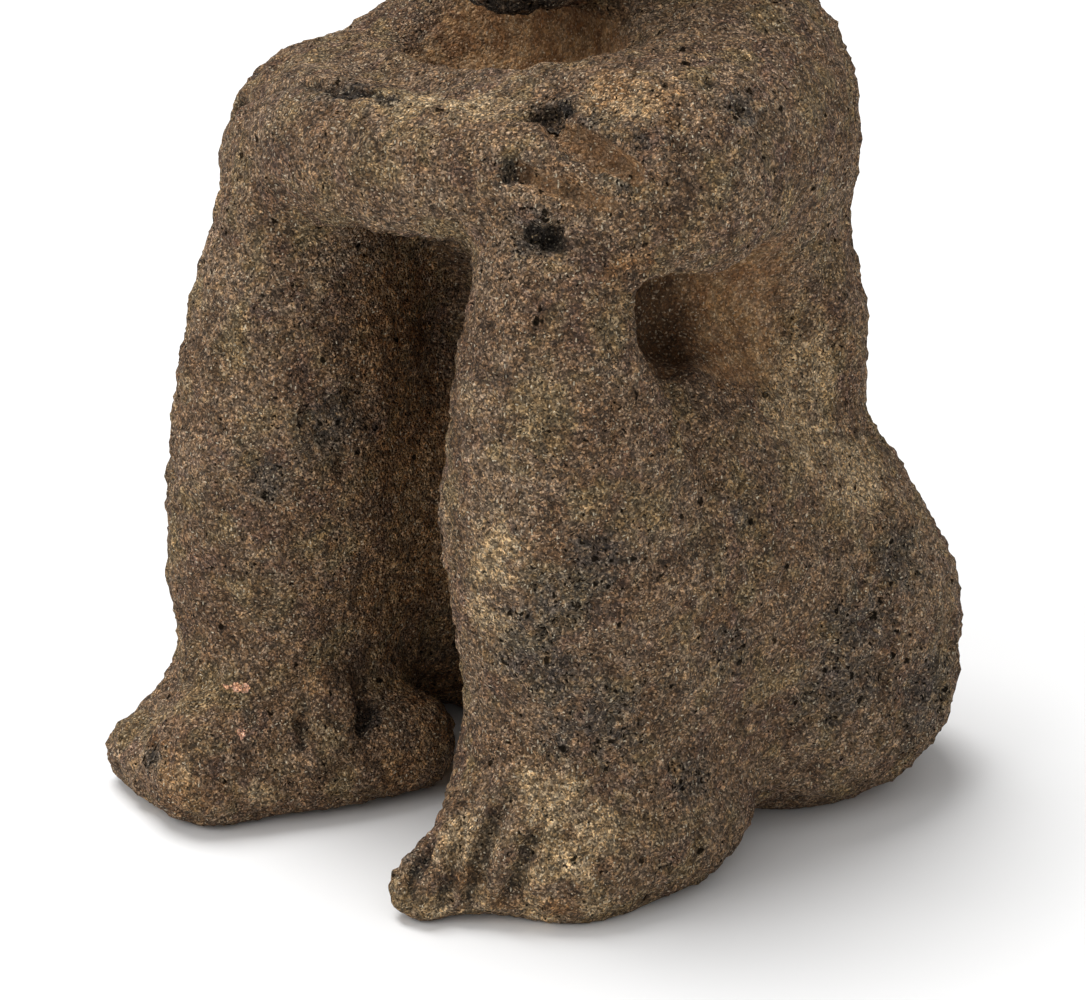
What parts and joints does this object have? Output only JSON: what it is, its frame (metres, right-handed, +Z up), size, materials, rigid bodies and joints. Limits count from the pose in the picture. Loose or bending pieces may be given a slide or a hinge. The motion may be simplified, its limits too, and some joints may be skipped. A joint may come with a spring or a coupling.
{
  "type": "seated stone figure",
  "caption": "Seated figure carved from one block of porous volcanic stone, with drawn-up knees, folded arms and a low head.",
  "frame": {"origin": "middle of the footprint, on the ground that the feet and seat rest on", "axes": "+Z up, the figure faces -Y, its left hand is towards +X"},
  "size_m": [0.1714, 0.1718, 0.2703],
  "materials": {
    "stone": "rough, porous grey-brown volcanic stone with pale and black grains, ochre in the hollows"
  },
  "bodies": {
    "root": {"seated_figure": "stone"}
  },
  "joints": []
}
